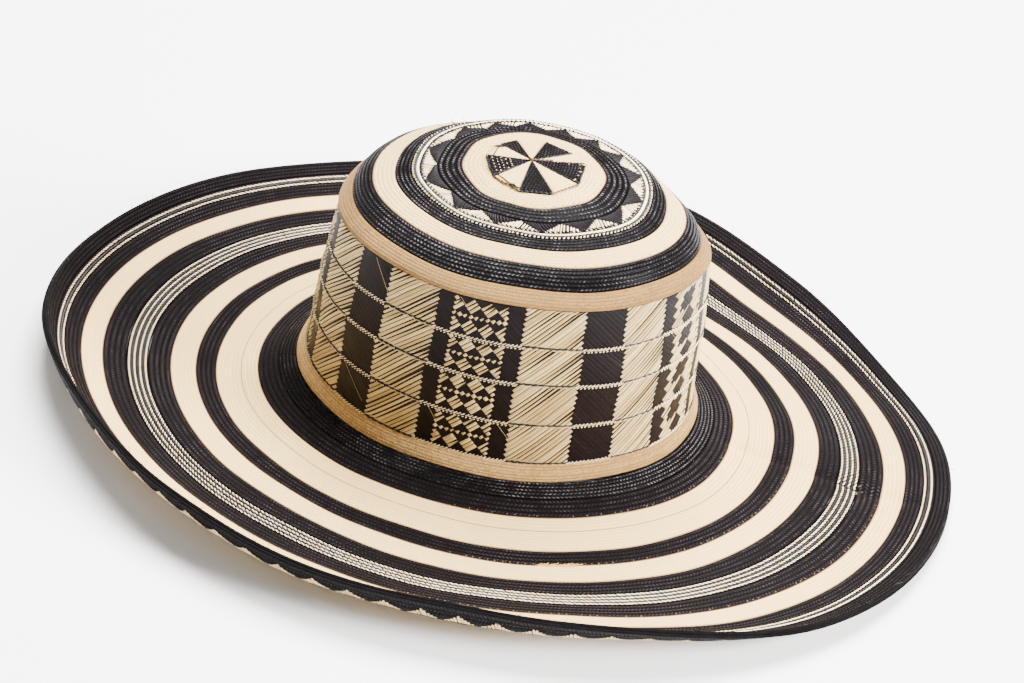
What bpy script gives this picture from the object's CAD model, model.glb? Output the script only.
"""A wide straw hat sewn from woven braid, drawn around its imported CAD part.

The hat is first drawn in its own frame, where X runs along the head's long way, Z is the crown's
axis and the foot of the crown is at height 0. One turn and one shift then lay it on its brim.
Two numbers name a place on the straw: the angle round the hat and the place in metres along the
straw, from the middle of the crown over the wall and out to the rim.
"""

import bpy
import numpy as np
from mathutils import Matrix, Quaternion, Vector


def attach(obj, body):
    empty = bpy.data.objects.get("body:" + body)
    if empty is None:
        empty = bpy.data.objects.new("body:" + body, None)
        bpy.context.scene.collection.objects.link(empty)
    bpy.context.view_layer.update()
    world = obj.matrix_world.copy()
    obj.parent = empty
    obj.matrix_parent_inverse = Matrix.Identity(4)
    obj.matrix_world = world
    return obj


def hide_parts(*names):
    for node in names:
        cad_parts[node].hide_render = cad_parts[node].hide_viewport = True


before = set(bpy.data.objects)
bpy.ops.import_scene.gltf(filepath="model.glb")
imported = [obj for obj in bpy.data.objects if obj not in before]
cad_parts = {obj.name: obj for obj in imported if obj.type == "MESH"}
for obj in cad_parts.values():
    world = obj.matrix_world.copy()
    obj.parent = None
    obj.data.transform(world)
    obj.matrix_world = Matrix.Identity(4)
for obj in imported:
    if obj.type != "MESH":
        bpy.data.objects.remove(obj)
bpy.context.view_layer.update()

# Sizes in metres
HEAD_RADIUS = 0.094
CROWN_HEIGHT = 0.130
BRIM_WIDTH = 0.139
STRAW_THICKNESS = 0.002
HEAD_OVAL = 0.257
HEAD_OVAL_TURN = np.radians(-9.9)
LEAN_ALONG = 0.037
LEAN_ACROSS = 0.011
PRESS_FROM = -0.35
PRESS_TO = 0.5
PRESS_TURN = np.radians(25)
STAR_RADIUS = 0.024
SEAM_GAP = 0.0003
DISC_HOLE = 0.002

# The band under the rim: where it starts as a share of BRIM_WIDTH, and its thickness
UNDER_BAND_FROM = 0.857
UNDER_BAND_THICKNESS = 0.0012

# The crease in the brim: its direction, its depth and how far it reaches to each side
CREASE_ANGLE = np.radians(351.7)
CREASE_DEPTH = 0.0042
CREASE_REACH = 0.0055

# How the hat lies on its brim
REST_TURN = Quaternion((0.99929, 0.03253, -0.0191, 0.0))
REST_SHIFT = Vector((-0.002232, -0.003473, 0.021831))

# Edges of the crown's rings from the top down: name of the ring above the edge, straw, reach as a
# share of HEAD_RADIUS, height as a share of CROWN_HEIGHT, share of HEAD_OVAL, and what is taken off
# the reach and off the height on the side where the crown is pressed.
CROWN_ROWS = [
    ("centre", "natural", 0.0, 1.0, 0.0, 0.0, 0.0),
    ("seat", "natural", 0.2936, 1.0, 0.0, 0.0, 0.0),
    ("crown_natural_disc", "natural", 0.37, 0.988, 0.25, 0.0, 0.0),
    ("crown_black_ring_1", "black", 0.476, 0.967, 0.6, 0.0, -0.01),
    ("crown_zigzag_ring", "zigzag", 0.585, 0.941, 0.86, 0.0, -0.032),
    ("crown_black_ring_2", "black", 0.665, 0.923, 0.88, 0.008, -0.008),
    ("crown_natural_ring", "natural", 0.775, 0.9, 0.85, 0.02, 0.042),
    ("shoulder", "black", 0.835, 0.877, 0.8, 0.03, 0.058),
    ("crown_black_ring_3", "black", 0.878, 0.84, 0.76, 0.045, 0.068),
    ("wall_top_band", "golden", 0.942, 0.782, 0.76, 0.09, 0.06),
    ("wall_figured_row_1", "figured", 0.956, 0.612, 0.78, 0.063, 0.032),
    ("wall_figured_row_2", "figured", 0.968, 0.447, 0.8, 0.034, 0.009),
    ("wall_figured_row_3", "figured", 0.962, 0.256, 0.86, 0.0, 0.0),
    ("wall_figured_row_4", "figured", 0.965, 0.075, 0.97, 0.0, 0.0),
    ("wall_bend", "golden", 0.984, 0.032, 1.0, 0.0, 0.0),
    ("wall_bottom_band", "golden", 1.0, 0.0, 1.0, 0.0, 0.0),
]

# Rings of the brim from the crown out: name, straw, outer edge as a share of BRIM_WIDTH.
BRIM_ROWS = [
    ("brim_black_ring_1", "black", 0.075),
    ("brim_black_ring_2", "black", 0.156),
    ("brim_natural_ring_1", "natural", 0.315),
    ("brim_black_ring_3", "black", 0.391),
    ("brim_natural_ring_2", "natural", 0.485),
    ("brim_black_ring_4", "black", 0.569),
    ("brim_speckled_ring_1", "speckled", 0.652),
    ("brim_black_ring_5", "black", 0.74),
    ("brim_natural_ring_3", "natural", 0.822),
    ("brim_black_ring_6", "black", 0.892),
    ("brim_speckled_ring_2", "speckled", 0.937),
    ("brim_rim_ring", "black", 1.0),
]

# The brim's rise outwards in degrees at five places, one row for each of 16 directions. The places
# are shares of BRIM_WIDTH, and the first arc also runs this far inwards, under the crown.
BRIM_INWARDS = -0.1
BRIM_PLACES = np.array([0, 0.3, 0.6, 0.82, 1])
BRIM_SLOPES = np.array([
    [-30, -2, -16, 0, -5],
    [-31, -9, -16, -9, -4],
    [-20, -18, -14, 1, 23],
    [-15, -14, -3, 5, 19],
    [-25, -10, 1, 0, 10],
    [-21, -14, -7, 10, 22],
    [-25, -10, -3, 10, 31],
    [-35, -4, 7, 8, 40],
    [-33, -2, 10, 18, 65],
    [-32, 4, 10, 26, 84],
    [-24, 3, 9, 29, 75],
    [-17, -2, 11, 23, 73],
    [-20, -5, 14, 19, 82],
    [-19, -7, 12, 17, 64],
    [-30, -4, 5, 3, 39],
    [-35, -1, -8, 1, 22],
])

chance = np.random.default_rng(7)
crown_table = np.array([row[2:] for row in CROWN_ROWS])
crown_steps = np.hypot(
    np.diff(crown_table[:, 0]) * HEAD_RADIUS, np.diff(crown_table[:, 1]) * CROWN_HEIGHT
)
crown_places = np.concatenate([[0], np.cumsum(crown_steps)])
CROWN_LENGTH = crown_places[-1]


def smooth_curve(knots, values, where):
    """Cubic pieces through the knots. The slope at each knot is the harmonic mean of the slopes of
    the two straight lines that meet there, or none where they turn back."""
    lines = np.diff(values) / np.diff(knots)
    before, after = lines[:-1], lines[1:]
    same = before * after > 0
    total = np.where(same, before + after, 1)
    inner = np.where(same, 2 * before * after / total, 0)
    slopes = np.concatenate([[lines[0]], inner, [lines[-1]]])
    index = np.clip(np.searchsorted(knots, where, side="right") - 1, 0, len(knots) - 2)
    length = knots[index + 1] - knots[index]
    share = (where - knots[index]) / length
    rest = 1 - share
    start = values[index] * rest**2 * (1 + 2 * share) + slopes[index] * length * share * rest**2
    end = values[index + 1] * share**2 * (3 - 2 * share)
    return start + end - slopes[index + 1] * length * rest * share**2


def half_lengths(radius, oval_share):
    """Half the long and the short way of an oval of that mean radius."""
    stretch = np.sqrt(1 + HEAD_OVAL * oval_share)
    return radius * stretch, radius / stretch


def head_turned(along, across, up):
    """Points given along the head's long way, turned to where the head points."""
    x = along * np.cos(HEAD_OVAL_TURN) - across * np.sin(HEAD_OVAL_TURN)
    y = along * np.sin(HEAD_OVAL_TURN) + across * np.cos(HEAD_OVAL_TURN)
    return np.stack(np.broadcast_arrays(x, y, up), axis=-1)


def crown_surface(angle, place):
    """Outside of the crown: an oval whose size, share of roundness and height follow smooth curves
    through the rows of the table, shifted by the lean for each unit of height. Behind, where the
    sine of the angle passes from low to high, it is drawn in by a smooth step, and sunk by the same
    step times a raised cosine of the angle to the pressed side."""
    columns = [smooth_curve(crown_places, column, place) for column in crown_table.T]
    reach, height, oval, drawn, sunk = columns
    step = np.clip((np.sin(angle) - PRESS_FROM) / (PRESS_TO - PRESS_FROM), 0, 1)
    behind = step * step * (3 - 2 * step)
    pressed = behind * (1 + np.cos(angle - PRESS_TURN)) / 2
    long, short = half_lengths((reach - drawn * behind) * HEAD_RADIUS, oval)
    turn = angle - HEAD_OVAL_TURN
    rise = (height - sunk * pressed) * CROWN_HEIGHT
    flat = head_turned(long * np.cos(turn), short * np.sin(turn), rise)
    lean = np.stack([LEAN_ALONG * rise, LEAN_ACROSS * rise, 0 * rise], axis=-1)
    return flat + lean


def slopes_towards(angle):
    """The brim's five slopes in a direction: a smooth closed curve through the rows."""
    count = len(BRIM_SLOPES)
    spot = angle / (2 * np.pi) * count
    first = np.floor(spot).astype(int)
    share = (spot - first)[..., None]
    before, start, end, after = [BRIM_SLOPES[(first + k) % count] for k in (-1, 0, 1, 2)]
    pull = end - before
    bend = 2 * before - 5 * start + 4 * end - after
    twist = 3 * start - before - 3 * end + after
    return np.radians(start + 0.5 * share * (pull + share * (bend + share * twist)))


def brim_surface(angle, place):
    """Upper side of the brim: straight out from the oval at the foot, along arcs whose slope
    changes evenly from each of the five places to the next."""
    angle, place = np.broadcast_arrays(angle, place)
    edge = (place - CROWN_LENGTH) / BRIM_WIDTH
    slopes = slopes_towards(angle)
    out = np.zeros(angle.shape)
    up = np.zeros(angle.shape)
    for i in range(len(BRIM_PLACES) - 1):
        whole = BRIM_PLACES[i + 1] - BRIM_PLACES[i]
        most = 2 * whole if i == len(BRIM_PLACES) - 2 else whole
        least = BRIM_INWARDS if i == 0 else 0
        part = np.clip(edge - BRIM_PLACES[i], least, most)
        start = slopes[..., i]
        turn = (slopes[..., i + 1] - start) * part / whole
        length = part * BRIM_WIDTH
        even = np.abs(turn) < 1e-6
        safe = np.where(even, 1, turn)
        end = start + turn
        out += length * np.where(even, np.cos(start), (np.sin(end) - np.sin(start)) / safe)
        up += length * np.where(even, np.sin(start), (np.cos(start) - np.cos(end)) / safe)
    long, short = half_lengths(HEAD_RADIUS, 1)
    turn = angle - HEAD_OVAL_TURN
    size = np.hypot(short * np.cos(turn), long * np.sin(turn))
    along = long * np.cos(turn) + out * short * np.cos(turn) / size
    across = short * np.sin(turn) + out * long * np.sin(turn) / size
    return head_turned(along, across, up)


def uneven(surface, angle, place):
    """How the hand-sewn straw strays: a shift of the place and a height. Both are sums of slow sine
    waves round the hat whose phase drifts outwards. The brim has one crease, a narrow valley that
    falls off exponentially to both sides, on the camera's right."""
    shift = 0.0004 * np.sin(3 * angle + 1 + 25 * place) + 0.0003 * np.sin(8 * angle + 2 - 40 * place)
    wave = 0.5 * np.sin(7 * angle + 60 * place) + 0.3 * np.sin(11 * angle - 95 * place + 1)
    wave = wave + 0.2 * np.sin(19 * angle + 150 * place)
    if surface is crown_surface:
        return shift, 0.0002 * wave
    share = (place - CROWN_LENGTH) / BRIM_WIDTH
    growth = np.clip(share * 4, 0, 1)
    turned = np.abs((angle - CREASE_ANGLE + np.pi) % (2 * np.pi) - np.pi)
    off = turned * (HEAD_RADIUS + share * BRIM_WIDTH)
    valley = CREASE_DEPTH * np.exp(-off / CREASE_REACH)
    length = np.clip(share * 6 - 0.5, 0, 1) * np.clip((0.95 - share) * 6, 0, 1)
    return shift * growth, growth * 0.0005 * wave - length * valley


def laid(surface, angle, place, height):
    """Points at a height over a surface, measured square to it, in the frame of the part."""
    small = 1e-4
    shift, wave = uneven(surface, angle, place)
    place = place + shift
    height = height + wave
    here = surface(angle, place)
    around = surface(angle + small, place) - surface(angle - small, place)
    downhill = surface(angle, place + small) - surface(angle, place - small)
    normal = np.cross(downhill, around)
    normal /= np.maximum(np.linalg.norm(normal, axis=-1, keepdims=True), 1e-12)
    points = here + normal * np.asarray(height)[..., None]
    return points @ np.array(REST_TURN.to_matrix()).T + np.array(REST_SHIFT)


def make_mesh(name, points, faces, corner_uv=None, values=None):
    """A smooth mesh from arrays of points and four-cornered faces, with its own UV map in metres
    and named values on its points."""
    mesh = bpy.data.meshes.new(name)
    mesh.vertices.add(len(points))
    mesh.vertices.foreach_set("co", points.astype(np.float32).ravel())
    mesh.loops.add(faces.size)
    mesh.loops.foreach_set("vertex_index", faces.astype(np.int32).ravel())
    mesh.polygons.add(len(faces))
    mesh.polygons.foreach_set("loop_start", np.arange(0, faces.size, 4, dtype=np.int32))
    mesh.polygons.foreach_set("use_smooth", np.ones(len(faces), dtype=bool))
    if corner_uv is not None:
        mesh.uv_layers.new(name="straw")
        mesh.uv_layers["straw"].uv.foreach_set("vector", corner_uv.astype(np.float32).ravel())
    for title, numbers in (values or {}).items():
        attribute = mesh.attributes.new(title, "FLOAT", "POINT")
        attribute.data.foreach_set("value", numbers.astype(np.float32).ravel())
    mesh.update(calc_edges=True)
    piece = bpy.data.objects.new(name, mesh)
    bpy.context.scene.collection.objects.link(piece)
    return piece


def closed_grid(columns, rows):
    """Faces of a grid that closes on itself both ways. Corners of a face run down one column and
    back up the next."""
    j, k = np.meshgrid(np.arange(columns), np.arange(rows), indexing="ij")
    after_j = (j + 1) % columns
    after_k = (k + 1) % rows
    faces = np.stack(
        [j * rows + k, j * rows + after_k, after_j * rows + after_k, after_j * rows + k], axis=-1
    )
    return faces.reshape(-1, 4), j, k


# Angles round the hat, closest together at the crease, and how finely the rings are drawn
AROUND = 320
CROWDING = 0.35
RIDGE_LINES = 4
PLAIN_STEP = 0.002
DASH_PITCH = 0.0016
turns = 2 * np.pi * np.arange(AROUND) / AROUND
angles = turns - CROWDING * np.sin(turns - CREASE_ANGLE)


def link_nodes(tree, kind, inputs=None, **settings):
    """A new node with its settings, its inputs set or fed from the outputs of other nodes."""
    made = tree.nodes.new(kind)
    for key, value in settings.items():
        setattr(made, key, value)
    for key, value in (inputs or {}).items():
        if isinstance(value, bpy.types.NodeSocket):
            tree.links.new(value, made.inputs[key])
        else:
            made.inputs[key].default_value = value
    return made


def calc(tree, operation, first, second=0.5, third=0.5):
    """The result of a math node."""
    inputs = {0: first, 1: second, 2: third}
    return link_nodes(tree, "ShaderNodeMath", inputs, operation=operation).outputs[0]


# Sockets of a mix node when it mixes colours
MIX_SHARE = 0
MIX_FIRST = 6
MIX_SECOND = 7
MIX_RESULT = 2


def blend(tree, share, first, second):
    """Two colours mixed by a share."""
    inputs = {MIX_SHARE: share, MIX_FIRST: first, MIX_SECOND: second}
    return link_nodes(tree, "ShaderNodeMix", inputs, data_type="RGBA").outputs[MIX_RESULT]


def span(tree, value, low, high, to_low=0.0, to_high=1.0):
    """A value carried from one range to another, held inside it."""
    inputs = {0: value, 1: low, 2: high, 3: to_low, 4: to_high}
    return link_nodes(tree, "ShaderNodeMapRange", inputs).outputs[0]


def new_group(name, inputs, outputs):
    """An empty node group with named sockets. Returns the group, its inputs and its end."""
    group = bpy.data.node_groups.new(name, "ShaderNodeTree")
    for title, kind, value in inputs:
        socket = group.interface.new_socket(name=title, in_out="INPUT", socket_type=kind)
        if value is not None:
            socket.default_value = value
    for title, kind in outputs:
        group.interface.new_socket(name=title, in_out="OUTPUT", socket_type=kind)
    return group, group.nodes.new("NodeGroupInput").outputs, group.nodes.new("NodeGroupOutput")


# The weave: how fast and how far its dashes wander, how much later each row starts as a share of a
# dash, and the powers that make a dash full along and across
WANDER_SCALE = 60.0
WANDER_REACH = 1.6
ROW_DELAY = 0.37
FULL_ALONG = 0.6
FULL_ACROSS = 0.45


def weave_group():
    """Rows of slanted dashes of straw, leaning to one side in even rows and to the other in odd
    ones. Place is in metres round the hat and in rows across. A dash's height is the product of
    two half sine waves, one along it and one across it, each raised to a power below one."""
    inputs = [
        ("Place", "NodeSocketVector", None),
        ("Dash Pitch", "NodeSocketFloat", 0.0016),
        ("Slant", "NodeSocketFloat", 0.8),
    ]
    outputs = [("Height", "NodeSocketFloat"), ("Gap", "NodeSocketFloat"), ("Strand", "NodeSocketFloat")]
    group, given, end = new_group("braid weave", inputs, outputs)
    apart = link_nodes(group, "ShaderNodeSeparateXYZ", {0: given["Place"]})
    wander = link_nodes(group, "ShaderNodeTexNoise", {"Vector": given["Place"], "Scale": WANDER_SCALE})
    row = calc(group, "FLOOR", apart.outputs["Y"])
    across = calc(group, "FRACT", apart.outputs["Y"])
    side = calc(group, "MULTIPLY_ADD", calc(group, "PINGPONG", row, 1.0), 2.0, -1.0)
    lean = calc(group, "MULTIPLY", calc(group, "SUBTRACT", across, 0.5), given["Slant"])
    lean = calc(group, "MULTIPLY", lean, side)
    along = calc(group, "DIVIDE", apart.outputs["X"], given["Dash Pitch"])
    along = calc(group, "ADD", along, lean)
    along = calc(group, "MULTIPLY_ADD", wander.outputs[0], WANDER_REACH, along)
    along = calc(group, "MULTIPLY_ADD", row, ROW_DELAY, along)
    dash = calc(group, "FLOOR", along)
    within = calc(group, "FRACT", along)
    hump = calc(group, "SINE", calc(group, "MULTIPLY", within, np.pi))
    back = calc(group, "SINE", calc(group, "MULTIPLY", across, np.pi))
    hump = calc(group, "POWER", hump, FULL_ALONG)
    back = calc(group, "POWER", back, FULL_ACROSS)
    height = calc(group, "MULTIPLY", hump, back)
    corner = link_nodes(group, "ShaderNodeCombineXYZ", {"X": dash, "Y": row})
    strand = link_nodes(group, "ShaderNodeTexWhiteNoise", {"Vector": corner.outputs[0]})
    group.links.new(height, end.inputs["Height"])
    group.links.new(span(group, height, 0.3, 0.8, 1.0, 0.0), end.inputs["Gap"])
    group.links.new(strand.outputs["Value"], end.inputs["Strand"])
    return group


def fibre_group():
    """Fine grain that runs along the straw: noise drawn out along the first coordinate."""
    inputs = [
        ("Place", "NodeSocketVector", None),
        ("Along", "NodeSocketFloat", 150.0),
        ("Across", "NodeSocketFloat", 2600.0),
    ]
    group, given, end = new_group(
        "straw fibre", inputs, [("Tone", "NodeSocketFloat"), ("Height", "NodeSocketFloat")]
    )
    scale = link_nodes(
        group, "ShaderNodeCombineXYZ", {"X": given["Along"], "Y": given["Across"], "Z": given["Across"]}
    )
    drawn = link_nodes(
        group, "ShaderNodeVectorMath", {0: given["Place"], 1: scale.outputs[0]}, operation="MULTIPLY"
    )
    noise = link_nodes(
        group, "ShaderNodeTexNoise", {"Vector": drawn.outputs[0], "Scale": 1.0, "Detail": 4.0}
    )
    group.links.new(span(group, noise.outputs[0], 0.3, 0.7), end.inputs["Tone"])
    group.links.new(noise.outputs[0], end.inputs["Height"])
    return group


# How many patches of age and specks of dust lie in a metre
BROAD_PATCHES = 14.0
DUST_SPECKS = 160.0


def age_group():
    """Broad patches where the straw has tanned, and where they meet dust, worn ones."""
    outputs = [("Tan", "NodeSocketFloat"), ("Worn", "NodeSocketFloat")]
    group, given, end = new_group("straw age", [("Position", "NodeSocketVector", None)], outputs)
    broad = link_nodes(
        group, "ShaderNodeTexNoise",
        {"Vector": given["Position"], "Scale": BROAD_PATCHES, "Detail": 3.0}
    )
    small = link_nodes(
        group, "ShaderNodeTexNoise",
        {"Vector": given["Position"], "Scale": DUST_SPECKS, "Detail": 4.0}
    )
    both = calc(group, "MULTIPLY", broad.outputs[0], small.outputs[0])
    group.links.new(span(group, broad.outputs[0], 0.4, 0.68), end.inputs["Tan"])
    group.links.new(span(group, both, 0.18, 0.38), end.inputs["Worn"])
    return group


WEAVE, FIBRE, AGE = weave_group(), fibre_group(), age_group()


def use_group(tree, group, inputs):
    """The outputs of a node group placed in a material."""
    return link_nodes(tree, "ShaderNodeGroup", inputs, node_tree=group).outputs


def new_material(name):
    """A new material with its tree, its shader, the position in space and the place on the straw."""
    material = bpy.data.materials.new(name)
    material.use_nodes = True
    tree = material.node_tree
    where = link_nodes(tree, "ShaderNodeTexCoord").outputs["Object"]
    place = link_nodes(tree, "ShaderNodeUVMap", uv_map="straw").outputs[0]
    return material, tree, tree.nodes["Principled BSDF"], where, place


def finish_shader(tree, shader, colour, roughness, height, distance):
    """Feeds the shader's colour, roughness and normal."""
    bump = link_nodes(tree, "ShaderNodeBump", {"Height": height, "Distance": distance})
    tree.links.new(colour, shader.inputs["Base Color"])
    tree.links.new(roughness, shader.inputs["Roughness"])
    tree.links.new(bump.outputs[0], shader.inputs["Normal"])


# How braid takes its colour and gloss: how much of its shade is grain, how strongly old patches tan
# it, the heights between which a crest begins, and how much rougher a strand or a gap can be
BRAID_GRAIN = 900.0
GRAIN_SHARE = 0.4
TAN_SHARE = 0.35
CREST_FROM = 0.88
CREST_TO = 0.98
STRAND_ROUGHER = 0.12
GAP_ROUGHER = 0.3
GRAIN_RELIEF = 0.25
COAT_ROUGHNESS = 0.2


def braid_material(name, light, dark, gap_colour, tan, gloss, pitch, slant, relief, coat=0.0,
                   glint=None, shine=0.4):
    """Woven braid: each dash takes a shade between the light and the dark colour, the gaps are
    darker and rougher, and old patches are tanned. Gloss gives the roughness of the sleek and the
    worn straw, shine how strongly it mirrors the light. The crests of the dashes can have a colour
    of their own, the glint, stronger in some patches, where the dye has rubbed off."""
    material, tree, shader, where, place = new_material(name)
    weave = use_group(tree, WEAVE, {"Place": place, "Dash Pitch": pitch, "Slant": slant})
    fibre = use_group(tree, FIBRE, {"Place": where, "Along": BRAID_GRAIN, "Across": BRAID_GRAIN})
    age = use_group(tree, AGE, {"Position": where})
    shade = calc(tree, "MULTIPLY", weave["Strand"], 1 - GRAIN_SHARE)
    shade = calc(tree, "MULTIPLY_ADD", fibre["Tone"], GRAIN_SHARE, shade)
    colour = blend(tree, shade, dark, light)
    colour = blend(tree, calc(tree, "MULTIPLY", age["Tan"], TAN_SHARE), colour, tan)
    if glint is not None:
        crest = span(tree, weave["Height"], CREST_FROM, CREST_TO)
        rubbed = calc(tree, "MULTIPLY", crest, span(tree, weave["Strand"], 0.1, 0.9, 0.3, 1.0))
        rubbed = calc(tree, "MULTIPLY", rubbed, span(tree, age["Worn"], 0.1, 0.8, 0.12, 1.0))
        colour = blend(tree, rubbed, colour, glint)
    colour = blend(tree, weave["Gap"], colour, gap_colour)
    rough = calc(tree, "MULTIPLY_ADD", age["Worn"], gloss[1] - gloss[0], gloss[0])
    rough = calc(tree, "MULTIPLY_ADD", weave["Strand"], STRAND_ROUGHER, rough)
    rough = calc(tree, "MULTIPLY_ADD", weave["Gap"], GAP_ROUGHER, rough)
    height = calc(tree, "MULTIPLY_ADD", fibre["Height"], GRAIN_RELIEF, weave["Height"])
    finish_shader(tree, shader, colour, rough, height, relief)
    shader.inputs["Coat Weight"].default_value = coat
    shader.inputs["Coat Roughness"].default_value = COAT_ROUGHNESS
    shader.inputs["Specular IOR Level"].default_value = shine
    return material


STRIP_GRAIN_SHARE = 0.45


def strip_material(name, light, dark, end_colour, gloss, relief=0.00012, shine=0.4):
    """Strips of straw: each has its own shade, grain along its length and ends of another colour."""
    material, tree, shader, where, place = new_material(name)
    shade = link_nodes(tree, "ShaderNodeAttribute", attribute_name="shade").outputs["Fac"]
    end = link_nodes(tree, "ShaderNodeAttribute", attribute_name="end").outputs["Fac"]
    fibre = use_group(tree, FIBRE, {"Place": place})
    age = use_group(tree, AGE, {"Position": where})
    tone = calc(tree, "MULTIPLY", shade, 1 - STRIP_GRAIN_SHARE)
    tone = calc(tree, "MULTIPLY_ADD", fibre["Tone"], STRIP_GRAIN_SHARE, tone)
    colour = blend(tree, tone, dark, light)
    colour = blend(tree, end, colour, end_colour)
    rough = calc(tree, "MULTIPLY_ADD", age["Worn"], gloss[1] - gloss[0], gloss[0])
    finish_shader(tree, shader, colour, rough, fibre["Height"], relief)
    shader.inputs["Specular IOR Level"].default_value = shine
    return material


# Colours of the straw, and how each turns in its gaps, at its ends or where its dye is rubbed
CREAM = (0.99, 0.70, 0.255, 1)
CREAM_DARK = (0.90, 0.59, 0.19, 1)
CREAM_GAP = (0.70, 0.46, 0.19, 1)
TAN = (0.84, 0.52, 0.20, 1)
GOLD = (0.49, 0.275, 0.048, 1)
GOLD_DARK = (0.22, 0.095, 0.02, 1)
GOLD_GAP = (0.30, 0.15, 0.035, 1)
GOLD_PALE = (0.80, 0.46, 0.12, 1)
FOOT_GOLD = (0.90, 0.56, 0.18, 1)
FOOT_GOLD_DARK = (0.42, 0.21, 0.05, 1)
FOOT_GOLD_GAP = (0.36, 0.18, 0.04, 1)
SOOT = (0.0066, 0.0037, 0.0043, 1)
SOOT_DARK = (0.003, 0.0015, 0.0018, 1)
STRIP_SOOT = (0.0052, 0.0026, 0.0036, 1)
STRIP_SOOT_DARK = (0.002, 0.001, 0.0013, 1)
PITCH_BLACK = (0.0012, 0.0008, 0.0009, 1)
DEEP_BLACK = (0.0006, 0.0004, 0.0005, 1)
RUBBED_SLEEK = (0.30, 0.26, 0.28, 1)
RUBBED_BRAID = (0.072, 0.056, 0.062, 1)
RUBBED_RIM = (0.045, 0.036, 0.04, 1)
RUBBED_PETAL = (0.10, 0.085, 0.095, 1)
REED = (0.66, 0.49, 0.205, 1)
REED_DARK = (0.26, 0.155, 0.045, 1)
REED_END = (0.35, 0.26, 0.14, 1)
BARK = (0.05, 0.028, 0.014, 1)
BONE = (0.92, 0.84, 0.64, 1)
BONE_END = (0.5, 0.38, 0.22, 1)
AMBER = (0.11, 0.042, 0.011, 1)
AMBER_DARK = (0.03, 0.011, 0.004, 1)

materials = {
    "natural": braid_material(
        "natural_braid", CREAM, CREAM_DARK, CREAM_GAP, TAN,
        gloss=(0.5, 0.62), pitch=0.0016, slant=0.9, relief=0.00022
    ),
    "black": braid_material(
        "black_braid", SOOT, SOOT_DARK, PITCH_BLACK, SOOT,
        gloss=(0.4, 0.55), pitch=0.0020, slant=0.9, relief=0.0005, glint=RUBBED_BRAID, shine=0.07
    ),
    "rim": braid_material(
        "rim_braid", SOOT, SOOT_DARK, PITCH_BLACK, SOOT_DARK,
        gloss=(0.5, 0.65), pitch=0.0020, slant=0.9, relief=0.0005, glint=RUBBED_RIM, shine=0.07
    ),
    "golden_foot": braid_material(
        "golden_foot_braid", FOOT_GOLD, FOOT_GOLD_DARK, FOOT_GOLD_GAP, GOLD,
        gloss=(0.5, 0.6), pitch=0.0014, slant=0.8, relief=0.0007
    ),
    "sleek": braid_material(
        "sleek_black_braid", SOOT_DARK, PITCH_BLACK, PITCH_BLACK, SOOT_DARK,
        gloss=(0.26, 0.36), pitch=0.0020, slant=0.9, relief=0.0011, coat=0.03, glint=RUBBED_SLEEK,
        shine=0.06
    ),
    "petal": braid_material(
        "woven_petal", SOOT_DARK, PITCH_BLACK, PITCH_BLACK, SOOT_DARK,
        gloss=(0.35, 0.45), pitch=0.0017, slant=0.0, relief=0.0005, glint=RUBBED_PETAL, shine=0.07
    ),
    "golden": braid_material(
        "golden_braid", GOLD, GOLD_DARK, GOLD_GAP, GOLD,
        gloss=(0.5, 0.6), pitch=0.0014, slant=0.8, relief=0.0007
    ),
    "figured": braid_material(
        "figured_ground", SOOT_DARK, PITCH_BLACK, PITCH_BLACK, BARK,
        gloss=(0.5, 0.7), pitch=0.0021, slant=1.0, relief=0.0002, shine=0.2
    ),
}
materials["speckled"] = materials["black"]
materials["zigzag"] = materials["figured"]
STRIP_BLACK = strip_material(
    "black_strip", STRIP_SOOT, STRIP_SOOT_DARK, PITCH_BLACK, gloss=(0.4, 0.55), relief=0.00004, shine=0.09
)
STRIP_REED = strip_material("reed_strip", REED, REED_DARK, REED_END, gloss=(0.42, 0.6))
STRIP_CREAM = strip_material("cream_strip", BONE, CREAM_DARK, BONE_END, gloss=(0.45, 0.6))
THREAD_DARK = strip_material(
    "dark_thread", SOOT_DARK, PITCH_BLACK, PITCH_BLACK, gloss=(0.4, 0.6), shine=0.3
)
STRIP_GOLD = strip_material("golden_strip", GOLD_PALE, GOLD, GOLD_DARK, gloss=(0.45, 0.6))
STRIP_DEEP = strip_material(
    "deep_black_strip", PITCH_BLACK, DEEP_BLACK, PITCH_BLACK, gloss=(0.6, 0.7), shine=0.03
)
THREAD_AMBER = strip_material("amber_thread", AMBER, AMBER_DARK, AMBER_DARK, gloss=(0.5, 0.7))


WALK_STEPS = 1440


def ring_round(surface, place):
    """Length of a ring round the hat."""
    loop = surface(angles, np.full(AROUND, place))
    return np.linalg.norm(np.roll(loop, -1, axis=0) - loop, axis=1).sum()


def walk_round(surface, place, origin):
    """One walk round the hat from the origin angle: angles turned and lengths walked."""
    turn = np.linspace(0, 2 * np.pi, WALK_STEPS + 1)
    loop = surface(origin + turn, np.full(turn.shape, place))
    return turn, np.concatenate([[0], np.cumsum(np.linalg.norm(np.diff(loop, axis=0), axis=1))])


def angle_after(surface, place, origin, arc):
    """The angle reached by walking an arc length round the hat from the origin angle."""
    turn, walked = walk_round(surface, place, origin)
    rounds = np.floor(arc / walked[-1])
    return origin + 2 * np.pi * rounds + np.interp(arc - rounds * walked[-1], walked, turn)


def keep(piece, look):
    """The piece's material and slot, and its ride with the part."""
    piece.data.materials.append(look)
    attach(piece, "root")
    return piece


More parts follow.
